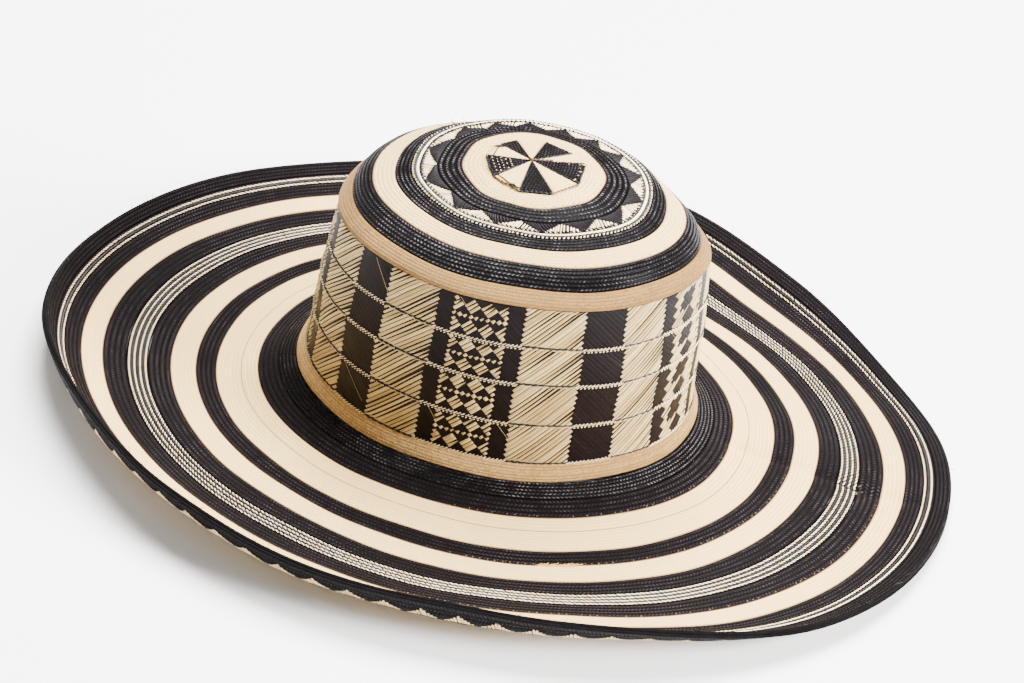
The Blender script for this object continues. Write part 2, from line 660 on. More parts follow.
def ring(name, surface, first, last, ridges, depth, crest, thickness=STRAW_THICKNESS):
    """A closed ring of braid between two places. Its outside has round ridges: the height falls
    from each ridge's middle with the third power of the distance, and the whole ring is raised in
    the middle by its crest. The inside follows at the straw's thickness."""
    start, end = first + SEAM_GAP / 2, last - SEAM_GAP / 2
    plain = max(4, round((end - start) / PLAIN_STEP))
    fine = np.linspace(start, end, ridges * RIDGE_LINES + 1 if depth > 0 else plain)
    coarse = np.linspace(end, start, plain)
    share = (fine - start) / (end - start)
    within = np.abs(2 * ((share * ridges) % 1) - 1)
    swell = 1 - (2 * share - 1) ** 4 if crest > 0 else 1
    outside = -depth * within**3 + crest * swell
    places = np.concatenate([fine, coarse])
    heights = np.concatenate([outside, np.full(len(coarse), min(crest, 0) - thickness)])
    turn, place = np.meshgrid(angles, places, indexing="ij")
    height = np.broadcast_to(heights, turn.shape)
    points = laid(surface, turn, place, height).reshape(-1, 3)
    faces, j, k = closed_grid(AROUND, len(places))
    dashes = round(ring_round(surface, (first + last) / 2) / DASH_PITCH)
    walked = dashes * DASH_PITCH * np.append(angles, angles[0] + 2 * np.pi) / (2 * np.pi)
    rows = (places - start) / (end - start) * ridges
    after = (k + 1) % len(places)
    uv = np.stack([
        np.stack([walked[j], rows[k]], axis=-1),
        np.stack([walked[j], rows[after]], axis=-1),
        np.stack([walked[j + 1], rows[after]], axis=-1),
        np.stack([walked[j + 1], rows[k]], axis=-1),
    ], axis=-2)
    return make_mesh(name, points, faces, uv.reshape(-1, 2))


def open_grids(count, sections, lines):
    """Faces of many open grids of points, one after another."""
    n, a, c = np.meshgrid(
        np.arange(count), np.arange(sections - 1), np.arange(lines - 1), indexing="ij"
    )
    corner = (n * sections + a) * lines + c
    faces = np.stack([corner, corner + lines, corner + lines + 1, corner + 1], axis=-1)
    return faces.reshape(-1, 4)


def strips(name, place_on, start, end, cross, lift, sections, tuck, lines=5, point=0.0, limits=None,
           base=0.0, rise=0.0, taper=0.0):
    """Many strips of straw as one mesh. Each runs from its start to its end, two numbers each in
    metres round and across, and is as wide as its cross vector to both sides. Its back is round,
    falling with a power of the distance to the sides. Its ends dip under their neighbours over a
    share of its length, the tuck, and point narrows them to a grain. A rise lifts the far end off
    the straw, with the second power of the distance, and a taper takes that share of its width off
    the far end."""
    along = np.linspace(0, 1, sections)
    sideways = np.linspace(-1, 1, lines)
    ends = np.minimum(along, 1 - along)
    narrow = (1 - point) + point * np.sqrt(np.clip(np.sin(np.pi * along), 0.02, 1))
    dip = np.clip(ends / tuck, 0, 1) if tuck else np.ones(sections)
    dip = dip * (2 - dip)
    path = start[:, None, None, :] + (end - start)[:, None, None, :] * along[None, :, None, None]
    wedge = 1 - np.broadcast_to(taper, len(start))[:, None] * along
    wide = (cross[:, None, None, :] * sideways[None, None, :, None]) * narrow[None, :, None, None]
    flat = path + wide * wedge[..., None, None]
    if limits is not None:
        flat[..., 1] = np.clip(flat[..., 1], *limits)
    lift = np.broadcast_to(lift, len(start))
    back = 1 - np.abs(sideways) ** 2.5
    height = base + lift[:, None, None] * (0.15 + 0.85 * dip[None, :, None]) * back[None, None, :]
    height = height + np.broadcast_to(rise, len(start))[:, None, None] * along[None, :, None] ** 2
    points = place_on(flat[..., 0], flat[..., 1], height).reshape(-1, 3)
    faces = open_grids(len(start), sections, lines)
    length = np.linalg.norm(end - start, axis=1)
    width = np.linalg.norm(cross, axis=1)
    offset = chance.uniform(0, 1, len(start))
    grain_u = offset[:, None, None] + length[:, None, None] * along[None, :, None] + 0 * sideways
    grain_v = offset[:, None, None] * 3 + width[:, None, None] * sideways + 0 * along[None, :, None]
    uv = np.stack([grain_u, grain_v], axis=-1).reshape(-1, 2)[faces.ravel()]
    shade = np.broadcast_to(chance.uniform(0, 1, len(start))[:, None, None], grain_u.shape)
    tip = np.broadcast_to((1 - dip)[None, :, None] ** 3, grain_u.shape)
    return make_mesh(name, points, faces, uv, {"shade": shade, "end": tip})


def round_hat(surface, middle, origin):
    """Lays arc lengths and places on a surface. Arcs are measured at the middle place."""
    return lambda arc, place, height: laid(
        surface, angle_after(surface, middle, origin, arc), place, height
    )


# How many ridges of braid each ring has
RIDGES = {
    "crown_natural_disc": 16,
    "crown_black_ring_1": 4,
    "crown_zigzag_ring": 3,
    "crown_black_ring_2": 4,
    "crown_natural_ring": 5,
    "crown_black_ring_3": 6,
    "wall_top_band": 6,
    "wall_bottom_band": 6,
    "brim_black_ring_1": 5,
    "brim_black_ring_2": 4,
    "brim_natural_ring_1": 11,
    "brim_black_ring_3": 4,
    "brim_natural_ring_2": 6,
    "brim_black_ring_4": 4,
    "brim_speckled_ring_1": 4,
    "brim_black_ring_5": 4,
    "brim_natural_ring_3": 5,
    "brim_black_ring_6": 4,
    "brim_speckled_ring_2": 3,
    "brim_rim_ring": 4,
}
# For each straw, the depth of the grooves between its ridges, and how far the middle of the ring
# stands out or, below zero, how far the whole ring lies back
BRAID_FORMS = {
    "natural": (0.0003, 0),
    "black": (0.0003, 0),
    "golden": (0.0002, 0.0008),
    "figured": (0, -0.0005),
    "speckled": (0.0004, 0),
    "zigzag": (0.0002, -0.0003),
}

# Rings whose look differs from that of their straw
LOOK_OF = {
    "crown_black_ring_1": "sleek",
    "crown_black_ring_2": "sleek",
    "crown_black_ring_3": "sleek",
    "brim_black_ring_1": "sleek",
    "brim_rim_ring": "rim",
    "wall_bottom_band": "golden_foot",
}

# Where each ring starts and ends on the straw. Rows of the crown's table that aren't rings only
# shape it.
edges = {}
first = DISC_HOLE
for row, place in zip(CROWN_ROWS, crown_places):
    name = row[0]
    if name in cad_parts:
        edges[name] = (first, place)
        first = place
first = CROWN_LENGTH
for name, _, edge in BRIM_ROWS:
    edges[name] = (first, CROWN_LENGTH + edge * BRIM_WIDTH)
    first = edges[name][1]

for name, straw in [row[:2] for row in CROWN_ROWS + BRIM_ROWS if row[0] in edges]:
    surface = brim_surface if name.startswith("brim") else crown_surface
    depth, crest = BRAID_FORMS[straw]
    piece = ring(name + "_braid", surface, *edges[name], RIDGES.get(name, 1), depth, crest)
    keep(piece, materials[LOOK_OF.get(name, straw)])
    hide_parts(name)

# The figures of the wall. Strips cross each other slantwise, so each row of the wall is a lattice
# of diamond-shaped cells, 15 half cells high. Each cell shows a natural strip, which rises to the
# right, or a black one, which falls to the right. The panels follow each other round the hat from
# the middle of the checker panel that faces the camera.
CELLS_HIGH = 15
CELLS_ROUND = 380
CELLS_UP = (CELLS_HIGH + 1) // 2
FIGURE_ORIGIN = np.radians(259.2)
PANELS = [
    ("checker", 14.0),
    ("black", 9.7),
    ("natural", 30.1),
    ("black", 22.9),
    ("natural", 23.5),
    ("black", 7.5),
    ("leaf", 24.0),
    ("black", 7.0),
    ("natural", 40.0),
    ("black", 36.0),
    ("natural", 40.0),
    ("black", 12.0),
    ("checker", 29.0),
    ("black", 12.0),
    ("natural", 40.0),
    ("black", 36.0),
    ("natural", 40.0),
    ("black", 7.0),
    ("leaf", 24.0),
    ("black", 8.0),
    ("natural", 27.0),
    ("black", 23.6),
    ("natural", 28.4),
    ("black", 9.7),
    ("checker", 14.0),
]
panel_ends = np.cumsum([width for _, width in PANELS])
panel_ends = panel_ends / panel_ends[-1] * CELLS_ROUND
panel_starts = np.concatenate([[0], panel_ends[:-1]])
panel_kinds = np.array([kind for kind, _ in PANELS])


def checker(across, up):
    """Natural squares on their corners in two lines, with a line of tiny ones between them."""
    large = np.abs((across % 6) - 3) + np.abs(np.abs(up) - 4) < 3.5
    tiny = (up == 0) & (np.abs(across) < 10)
    return (large & (np.abs(across) < 10)) | tiny


def leaf(across, up):
    """A natural ground with a black diamond low down, a black leaf that rises to the right above
    it, and a broken black column at each side."""
    diamond = np.abs(across - 1) + np.abs(up + 4.5) < 3.6
    along, aside = (across + up - 2) / 2, (across - up + 3) / 2
    blade = np.abs(aside) < 2.3 * np.clip(1 - (along / 4) ** 2, 0, 1)
    column = (np.abs(np.abs(across) - 7) < 0.8) & ((up % 4) < 2)
    return ~(diamond | blade | column)


def natural_cells():
    """Two tables over a row's lattice, by the count round and the count up: whether a natural strip
    shows there, and whether a cell lies there, which is so where the sum of the counts is odd."""
    spot, n = np.meshgrid(np.arange(CELLS_ROUND), np.arange(-CELLS_UP, CELLS_UP + 1), indexing="ij")
    index = np.searchsorted(panel_ends, spot, side="right").clip(0, len(PANELS) - 1)
    kind = panel_kinds[index]
    middle = np.round((panel_starts + panel_ends) / 2)
    middle[0], middle[-1] = 0, CELLS_ROUND
    across = spot - middle[index]
    pattern = (kind == "natural") | ((kind == "checker") & checker(across, n))
    pattern |= (kind == "leaf") & leaf(across, n)
    return pattern, (spot + n) % 2 == 1


def runs(shown, lanes):
    """Runs of cells along slanting lanes. Lanes is 1 where they rise to the right and -1 where
    they fall. Returns the first and the last cell of each run, as two counts each."""
    rows = shown.shape[1]
    steps = np.arange(rows)
    lane = np.arange(CELLS_ROUND)
    around = (lane[:, None] + steps[None, :]) % CELLS_ROUND
    height = steps if lanes == 1 else rows - 1 - steps
    line = shown[around, height[None, :]]
    framed = np.pad(line, ((0, 0), (1, 1))).astype(int)
    change = np.diff(framed, axis=1)
    lane_of, first = np.nonzero(change == 1)
    last = np.nonzero(change == -1)[1] - 1
    start = np.stack([lane_of + first, height[first] - CELLS_UP], axis=-1)
    end = np.stack([lane_of + last, height[last] - CELLS_UP], axis=-1)
    return start.astype(float), end.astype(float)


# How far each row of the wall is shifted round the hat
ROW_SHIFTS = [0, 0.0006, -0.0005, 0.0004]
# Shares of the way round the wall between which the natural strips lie loose, and their width there
LOOSE_FROM = 0.79
LOOSE_TO = 0.965
LOOSE_WIDTH = 0.92
# Cells that a long strip is longer than
LONG_STRIP = 2.9
# The wall's strips: straw, the way they lean, look, range of widths as shares of a cell, share of
# torn ones, and range of heights
WALL_STRIPS = [
    ("reed", 1, STRIP_REED, (0.6, 1.02), 0.38, (0.00035, 0.0006)),
    ("black", -1, STRIP_BLACK, (0.98, 1.02), 0.02, (0.00005, 0.0001)),
]
TORN_TAPER = (0.45, 0.95)
STRIP_MARGIN = 0.0002
WALL_ROWS = ["wall_figured_row_1", "wall_figured_row_2", "wall_figured_row_3", "wall_figured_row_4"]
natural_shown, cell = natural_cells()
for row, name in enumerate(WALL_ROWS):
    top, foot = edges[name]
    middle = (top + foot) / 2
    wide = ring_round(crown_surface, middle) / CELLS_ROUND
    high = (foot - top) / CELLS_HIGH
    scale = np.array([wide, -high])
    offset = np.array([0, middle])
    place_on = round_hat(crown_surface, middle, FIGURE_ORIGIN + ROW_SHIFTS[row] / HEAD_RADIUS)
    for straw, lanes, look, widths, torn_share, lifts in WALL_STRIPS:
        shown = natural_shown if straw == "reed" else ~natural_shown
        start, end = runs(shown & cell, lanes)
        step = np.array([0.5, 0.5 * lanes])
        start, end = start - step, end + step
        size = chance.uniform(*widths, len(start))
        share = start[:, 0] / CELLS_ROUND % 1
        loose = (straw == "reed") & (share > LOOSE_FROM) & (share < LOOSE_TO)
        size = np.where(loose, size * LOOSE_WIDTH, size)
        torn = chance.uniform(0, 1, len(start)) < torn_share
        taper = np.where(torn, chance.uniform(*TORN_TAPER, len(start)), 0)
        cross = size[:, None] * np.array([0.5, -0.5 * lanes])
        drift = chance.normal(0, 0.05, (len(start), 1)) * np.array([1, -lanes])
        long = np.linalg.norm(end - start, axis=1) > LONG_STRIP
        for part, sections, tuck in [(long, 9, 0.12), (~long, 4, 0.3)]:
            piece = strips(
                f"{name}_{straw}_strips_{sections}", place_on,
                (start + drift)[part] * scale + offset, (end + drift)[part] * scale + offset,
                cross[part] * scale, chance.uniform(*lifts, part.sum()), sections, tuck,
                limits=(top + STRIP_MARGIN, foot - STRIP_MARGIN), base=-0.0004, taper=taper[part],
            )
            keep(piece, look)


# Kinds of stitches: distance from one to the next, length, width, slant in radians, and height
STITCHES = {
    "pale": (0.0037, 0.0006, 0.00022, 0.3, 0.0002),
    "tan": (0.0042, 0.0007, 0.00025, 0.2, 0.0001),
    "dark": (0.0051, 0.0008, 0.0004, 0.2, 0.0003),
    "golden": (0.0032, 0.0026, 0.00035, 0.0, 0.00015),
    "speckle": (0.0025, 0.0030, 0.0007, 0.34, 0.0004),
    "speckle_twist": (0.0025, 0.0034, 0.0009, -0.2, 0.0005),
    "seam_dash": (0.0020, 0.0026, 0.0007, -0.6, 0.0005),
    "seam_dot": (0.0020, 0.0011, 0.0005, -0.6, 0.0003),
    "seam_twist": (0.0036, 0.0034, 0.0007, 0.16, 0.0006),
    "seam_edge": (0.003, 0.0027, 0.0006, 0.1, 0.0003),
    "crown_tooth": (0.0023, 0.0027, 0.0010, 0.9, 0.0009),
    "crown_twist": (0.0021, 0.0028, 0.0013, 0.5, 0.0008),
    "crown_dot": (0.0021, 0.0013, 0.0008, -0.5, 0.0008),
}


def stitches(name, surface, place, kind, look, origin=0.0, only=None, point=0.8, sections=5,
             base=0.0):
    """A line of short slanted strips round the hat, evenly spaced with a little wander. Only says
    from the share of the way round which of them are sewn."""
    pitch, length, width, slant, lift = STITCHES[kind]
    whole = ring_round(surface, place)
    count = round(whole / pitch)
    arc = (np.arange(count) + chance.normal(0, 0.05, count)) * whole / count
    if only is not None:
        arc = arc[only(arc / whole)]
    half = np.array([np.cos(slant), np.sin(slant)]) * length / 2
    wander = chance.normal(0, 0.04, (len(arc), 2)) * width
    centre = np.stack([arc, np.full(len(arc), place)], axis=-1) + wander
    cross = np.array([-np.sin(slant), np.cos(slant)]) * width / 2
    cross = cross * chance.uniform(0.85, 1.1, (len(arc), 1))
    height = lift * chance.uniform(0.8, 1.1, len(arc))
    piece = strips(name, round_hat(surface, place, origin), centre - half, centre + half, cross, height,
                   sections, tuck=0.3, lines=4, point=point, base=base)
    return keep(piece, look)


def thread(name, surface, place, width, lift, look):
    """One thread all the way round the hat."""
    start = np.array([[0, place]])
    end = np.array([[ring_round(surface, place), place]])
    piece = strips(name, round_hat(surface, place, 0.0), start, end, np.array([[0, width / 2]]), lift,
                   sections=481, tuck=0, lines=3)
    return keep(piece, look)


# Thin threads where black and natural braid are sewn together: surface, and the ring whose outer
# edge each follows
SEAM_THREADS = [
    (brim_surface, "brim_black_ring_2"),
    (brim_surface, "brim_natural_ring_1"),
    (brim_surface, "brim_black_ring_3"),
    (brim_surface, "brim_natural_ring_2"),
    (brim_surface, "brim_black_ring_5"),
    (brim_surface, "brim_natural_ring_3"),
    (crown_surface, "crown_natural_disc"),
    (crown_surface, "crown_natural_ring"),
]
for surface, name in SEAM_THREADS:
    thread(name + "_edge_thread", surface, edges[name][1], width=0.00025, lift=0.00008,
           look=THREAD_AMBER)
inner, outer = edges["brim_natural_ring_1"]
thread("brim_natural_ring_1_stitches", brim_surface, inner + 0.4 * (outer - inner), width=0.0004,
       lift=0.0001, look=THREAD_AMBER)


def near_front(share):
    """Places between the front of the hat and its right, with half of them left out by chance."""
    return (share > 0.72) & (share < 0.97) & (chance.uniform(0, 1, len(share)) < 0.5)


# Small pale stitches along the outer edges of some black rings, tan ones inside a natural ring, dark
# ones on the crown and golden ones along the golden bands
for name in ["brim_black_ring_2", "brim_black_ring_3", "brim_black_ring_5"]:
    stitches(name + "_pale_stitches", brim_surface, edges[name][1] - 0.0009, "pale", STRIP_REED,
             only=near_front, point=0.5, sections=3)
stitches("brim_natural_ring_1_tan_stitches", brim_surface, outer - 0.0016, "tan", THREAD_AMBER,
         only=near_front, point=0.5, sections=3)
for name in ["crown_natural_ring", "crown_natural_disc"]:
    stitches(name + "_dark_stitches", crown_surface, edges[name][1] - 0.0010, "dark", THREAD_DARK,
             point=0.5, sections=3)
for name, share in [("wall_top_band", 0.72), ("wall_bottom_band", 0.5)]:
    top, foot = edges[name]
    stitches(name + "_stitches", crown_surface, top + share * (foot - top), "golden", STRIP_GOLD,
             base=0.0006)

# Lines of white stitches on the speckled rings: how many there are, and how far from the inner and
# the outer edge of the ring they stay
for name, lines, from_inner, from_outer in [
    ("brim_speckled_ring_1", 4, 0, 0), ("brim_speckled_ring_2", 2, -0.0009, 0.0002),
]:
    inner, outer = edges[name]
    inner, outer = inner + from_inner, outer - from_outer
    for line in range(lines):
        place = inner + (line + 0.5) / lines * (outer - inner)
        stitches(f"{name}_stitches_{line + 1}", brim_surface, place, "speckle", STRIP_CREAM,
                 base=-0.0001, point=0.85)
        if line + 1 < lines:
            between = place + 0.5 / lines * (outer - inner)
            stitches(f"{name}_twist_{line + 1}", brim_surface, between, "speckle_twist", THREAD_DARK,
                     sections=4)

# Threads between the rows of the wall: white dashes over black straw, a thin dark thread elsewhere
panel_shares = panel_ends / CELLS_ROUND


def over_black(share):
    """Whether a share of the way round the wall lies on a panel that isn't natural."""
    index = np.searchsorted(panel_shares, share % 1, side="right").clip(0, len(PANELS) - 1)
    return panel_kinds[index] != "natural"


def over_natural(share):
    """Whether a share of the way round the wall lies on a natural panel."""
    return ~over_black(share)


# The lines of stitches of a seam: name, how far down from the seam, kind, look, where, and point
SEAM_LINES = [
    ("white_dashes", 0, "seam_dash", STRIP_CREAM, over_black, 0.7),
    ("white_dots", 0.0014, "seam_dot", STRIP_CREAM, over_black, 0.7),
    ("dark_twist", 0, "seam_twist", THREAD_DARK, over_natural, 0.8),
    ("pale_edge", 0.0009, "seam_edge", STRIP_REED, over_natural, 0.8),
]
for row, name in enumerate(WALL_ROWS):
    place = edges[name][1]
    seam = f"wall_seam_{row + 1}_"
    thread(seam + "thread", crown_surface, place - 0.0004, width=0.0005, lift=0.0004, look=THREAD_DARK)
    for title, down, kind, look, only, point in SEAM_LINES:
        stitches(seam + title, crown_surface, place + down, kind, look, FIGURE_ORIGIN, only,
                 point)


def fans(name, surface, inner, outer, tips, per_tooth, slant, looks, fullness, lift, base, bow=1.0):
    """Two facing rows of teeth. The first look's strips start at the inner edge and end on the
    zigzag line, the second look's start at the outer edge and end on the same line. The tips of
    the first look's teeth are given as angles. The line falls from a tip to the middle between two
    tips, and bow is the power it falls with. Fullness is the range of the second look's widths, as
    shares of the way from strip to strip."""
    middle = (inner + outer) / 2
    turn, walked = walk_round(surface, middle, 0.0)
    whole = walked[-1]
    count = len(tips) * per_tooth
    arc = (np.arange(count) + 0.5 + chance.normal(0, 0.06, count)) * whole / count
    tip_arcs = np.sort(np.interp(np.radians(tips) % (2 * np.pi), turn, walked))
    tip_arcs = np.concatenate([[tip_arcs[-1] - whole], tip_arcs, [tip_arcs[0] + whole]])
    within = np.interp(arc, tip_arcs, np.arange(len(tip_arcs))) % 1
    line = 1 - (1 - np.abs(2 * within - 1)) ** bow
    place_on = round_hat(surface, middle, 0.0)
    for side, share, from_edge, to_edge, lean, widths in [
        (1, line, inner, outer, slant, (0.85, 1.05)), (2, 1 - line, outer, inner, -slant, fullness),
    ]:
        reach = share * (to_edge - from_edge)
        start = np.stack([arc - lean * reach / 2, np.full(count, from_edge)], axis=-1)
        end = np.stack([arc + lean * reach / 2, from_edge + reach], axis=-1)
        wide = whole / count / 2 * chance.uniform(*widths, count)
        cross = np.stack([wide, -lean * wide * 0.5], axis=-1)
        shown = share > 0.08
        piece = strips(f"{name}_fans_{side}", place_on, start[shown], end[shown], cross[shown], lift,
                       sections=5, tuck=0.12, lines=4, base=base)
        keep(piece, looks[side - 1])


# The zigzag ring of the crown: black and natural triangles, then a pale line and a twisted cord
inner, outer = edges["crown_zigzag_ring"]
cord = outer - 0.0026
CROWN_TIPS = [15, 36, 55, 74, 93, 111, 130, 163, 200, 229, 252, 276, 300, 323, 351]
fans("crown_zigzag_ring", crown_surface, inner + 0.0002, cord - 0.0012, CROWN_TIPS, per_tooth=14,
     slant=0.45, looks=(STRIP_BLACK, STRIP_CREAM), fullness=(0.4, 0.85), lift=0.0005, base=-0.0003)
stitches("crown_zigzag_dark_teeth", crown_surface, cord - 0.0016, "crown_tooth", THREAD_DARK,
         sections=4)
thread("crown_zigzag_pale_line", crown_surface, cord, width=0.0012, lift=0.0006, look=STRIP_CREAM)
stitches("crown_zigzag_dark_twist", crown_surface, cord + 0.0013, "crown_twist", THREAD_DARK)
stitches("crown_zigzag_white_dots", crown_surface, cord + 0.0021, "crown_dot", STRIP_CREAM)

# The band under the rim: black arches with pale tips between them that point at the black rim
band_start = CROWN_LENGTH + UNDER_BAND_FROM * BRIM_WIDTH
band_end = CROWN_LENGTH + BRIM_WIDTH
band_top = -STRAW_THICKNESS - SEAM_GAP
band = ring("brim_under_band_braid", brim_surface, band_start, band_end, ridges=6, depth=0.0,
            crest=band_top, thickness=UNDER_BAND_THICKNESS)
keep(band, materials["rim"])
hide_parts("brim_under_band")
UNDER_TIPS = 7 + 5 * np.arange(72)
fans("brim_under_band", brim_surface, band_end - 0.0045, band_end - 0.0130, UNDER_TIPS, per_tooth=12,
     slant=0.2, looks=(STRIP_DEEP, STRIP_REED), fullness=(1.0, 1.15), lift=-0.0003,
     base=band_top - UNDER_BAND_THICKNESS + 0.0001, bow=1.35)


def fibres(name, surface, arc, place, angle, length, rise, look, origin=0.0, width=0.00022):
    """Thin straws that leave the surface. Angle is measured from the way round the hat."""
    start = np.stack([arc, place], axis=-1)
    way = np.stack([np.cos(angle), np.sin(angle)], axis=-1)
    aside = np.stack([-np.sin(angle), np.cos(angle)], axis=-1) * width / 2
    piece = strips(name, round_hat(surface, place.mean(), origin), start, start + way * length[:, None],
                   aside, width, sections=7, tuck=0, lines=3, point=0.6, rise=rise)
    return keep(piece, look)


def spread(count, low, high):
    """Numbers drawn evenly between two limits."""
    return chance.uniform(low, high, count)


# Loose fibres: along the rim, at the lap joint, in front, in a notch of the rim, at the back of the
# crown's top, and pale hairs over the black panels of the wall
RIM_FIBRES = 90
fibres("rim_fibres", brim_surface,
       arc=spread(RIM_FIBRES, 0, ring_round(brim_surface, band_end)),
       place=np.full(RIM_FIBRES, band_end - 0.001),
       angle=spread(RIM_FIBRES, 0.2, 2.9),
       length=spread(RIM_FIBRES, 0.0015, 0.0045),
       rise=spread(RIM_FIBRES, -0.001, 0.0015),
       look=THREAD_DARK)
JOINT_FIBRES = 4
joint = CROWN_LENGTH + 0.70 * BRIM_WIDTH
fibres("lap_joint_fibres", brim_surface,
       arc=np.linspace(-0.006, 0.003, JOINT_FIBRES),
       place=spread(JOINT_FIBRES, joint - 0.008, joint - 0.006),
       angle=spread(JOINT_FIBRES, 1.0, 1.2),
       length=spread(JOINT_FIBRES, 0.0015, 0.003),
       rise=spread(JOINT_FIBRES, 0.0001, 0.0005),
       look=STRIP_REED, origin=CREASE_ANGLE, width=0.0001)
FRAY_FIBRES = 60
fray = edges["brim_black_ring_3"][1]
fibres("amber_fray", brim_surface,
       arc=spread(FRAY_FIBRES, 0, 0.021),
       place=spread(FRAY_FIBRES, fray - 0.0002, fray + 0.0008),
       angle=spread(FRAY_FIBRES, -0.5, 0.5),
       length=spread(FRAY_FIBRES, 0.0015, 0.004),
       rise=spread(FRAY_FIBRES, 0.0002, 0.0008),
       look=STRIP_GOLD, origin=np.radians(281))
NOTCH_FIBRES = 16
fibres("rim_notch_hairs", brim_surface,
       arc=spread(NOTCH_FIBRES, -0.003, 0.003),
       place=spread(NOTCH_FIBRES, band_end - 0.006, band_end - 0.001),
       angle=spread(NOTCH_FIBRES, 0.9, 2.6),
       length=spread(NOTCH_FIBRES, 0.003, 0.006),
       rise=spread(NOTCH_FIBRES, 0.0005, 0.003),
       look=THREAD_DARK, origin=np.radians(301), width=0.0003)
CROWN_FIBRES = 7
fibres("crown_fibres", crown_surface,
       arc=spread(CROWN_FIBRES, -0.006, 0.006),
       place=spread(CROWN_FIBRES, 0.052, 0.058),
       angle=spread(CROWN_FIBRES, 0.9, 2.2),
       length=spread(CROWN_FIBRES, 0.003, 0.007),
       rise=spread(CROWN_FIBRES, 0.001, 0.004),
       look=THREAD_DARK, origin=np.radians(128))
HAIRY_SHARE = 0.45
HAIR_LENGTH = 0.024
for name in WALL_ROWS:
    top, foot = edges[name]
    whole = ring_round(crown_surface, (top + foot) / 2)
    blacks = np.flatnonzero(panel_kinds == "black")
    blacks = blacks[chance.uniform(0, 1, len(blacks)) < HAIRY_SHARE]
    begin = (panel_starts[blacks] / CELLS_ROUND + 0.004) * whole + spread(len(blacks), 0, 0.003)
    room = (panel_ends[blacks] - panel_starts[blacks]) / CELLS_ROUND * whole
    size = np.minimum(room * 1.1, HAIR_LENGTH) * spread(len(blacks), 0.5, 1)
    fibres(name + "_pale_hairs", crown_surface, arc=begin, place=np.full(len(blacks), top + 0.001),
           angle=spread(len(blacks), 0.72, 0.95), length=size, rise=0.0002, look=STRIP_REED,
           origin=FIGURE_ORIGIN, width=0.00011)

# The star: ten petals of woven straw, from the place where they meet to the sides of the outline.
# For each petal its straw, and the turn in degrees and the reach, as a share of STAR_RADIUS, of the
# corner where it starts.
PETALS = [
    ("black", 170, 1.03),
    ("natural", 215, 0.98),
    ("black", 256, 1.02),
    ("natural", 296, 1.04),
    ("black", 334, 1.06),
    ("natural", 377, 1.1),
    ("black", 400, 1.0),
    ("natural", 439, 0.98),
    ("black", 476, 0.98),
    ("natural", 498, 1.0),
]
MEETING = np.array([-0.06, 0.17]) * STAR_RADIUS
STAR_CENTRE = np.array([LEAN_ALONG, LEAN_ACROSS, 1]) * CROWN_HEIGHT
PETAL_RISE = {"black": 0.0016, "natural": 0.0012}
PETAL_ROWS = 30
PETAL_LINES = 25
PETAL_WEAVE = 0.0015
SPECKLED_PETAL = 0
FOLDED_PETAL = 4
petal_turns = np.radians([turn for _, turn, _ in PETALS])
reaches = np.array([reach for _, _, reach in PETALS]) * STAR_RADIUS
corners = np.stack([np.cos(petal_turns), np.sin(petal_turns)], axis=-1) * reaches[:, None]


def on_top(across, along, height):
    """Points over the flat middle of the crown, in the frame of the part."""
    points = np.stack(np.broadcast_arrays(across, along, height), axis=-1) + STAR_CENTRE
    return points @ np.array(REST_TURN.to_matrix()).T + np.array(REST_SHIFT)


def petal_sides(index):
    """The middle of a petal's outer side and half that side, both as flat vectors."""
    first, second = corners[index], corners[(index + 1) % len(PETALS)]
    return (first + second) / 2, (second - first) / 2


def petal(name, index, rise):
    """One petal. Points run from the meeting place to the outline, and from one side to the other.
    The top is flat with round shoulders: its height falls with the eighth power of the distance to
    the sides and with a high power of the distance outwards."""
    out = np.linspace(0.02, 1, PETAL_ROWS)[:, None]
    side = np.linspace(-1, 1, PETAL_LINES)[None, :]
    middle, half = petal_sides(index)
    bow = 1 + 0.02 * (1 - side**2)
    flat = MEETING + out[..., None] * ((middle - MEETING) * bow[..., None] + half * side[..., None] * 0.985)
    edge = np.minimum((1 - side**8) ** 0.5 + 0 * out, (1 - out**24) ** 0.5 + 0 * side)
    ripple = 0.00012 * np.sin(out * 40) * np.sin(side * 9)
    height = 0.0003 + rise * (0.25 + 0.75 * edge) + ripple * edge
    height[:, [0, -1]] = 0.0001
    height[-1, :] = 0.0001
    points = on_top(flat[..., 0], flat[..., 1], height).reshape(-1, 3)
    faces = open_grids(1, PETAL_ROWS, PETAL_LINES)
    length = np.linalg.norm(middle - MEETING)
    uv = np.stack([
        side * out * np.linalg.norm(half) + 0.05,
        out * length / PETAL_WEAVE + 0 * side,
    ], axis=-1).reshape(-1, 2)[faces.ravel()]
    return make_mesh(name, points, faces, uv)


petals_made = {"black": 0, "natural": 0}
for index, (straw, _, _) in enumerate(PETALS):
    petals_made[straw] += 1
    node = f"star_{straw}_petal_{petals_made[straw]}"
    piece = petal(node + "_weave", index, PETAL_RISE[straw])
    keep(piece, materials["petal" if straw == "black" else "natural"])
    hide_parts(node)


def on_petal(index, out, side):
    """Flat places on a petal: out runs from the meeting place to the outline, side from -1 to 1."""
    middle, half = petal_sides(index)
    return MEETING + np.asarray(out)[:, None] * ((middle - MEETING) + half * np.asarray(side)[:, None])


def star_strokes(name, start, end, width, base, lift, look, point=0.5):
    """Short straight strips on the star, each between two flat places."""
    across = (end - start)[:, ::-1] * np.array([1, -1])
    across /= np.maximum(np.linalg.norm(across, axis=1, keepdims=True), 1e-9)
    piece = strips(name, on_top, start, end, across * width / 2, lift, sections=5, tuck=0.2, lines=4,
                   point=point, base=base)
    return keep(piece, look)


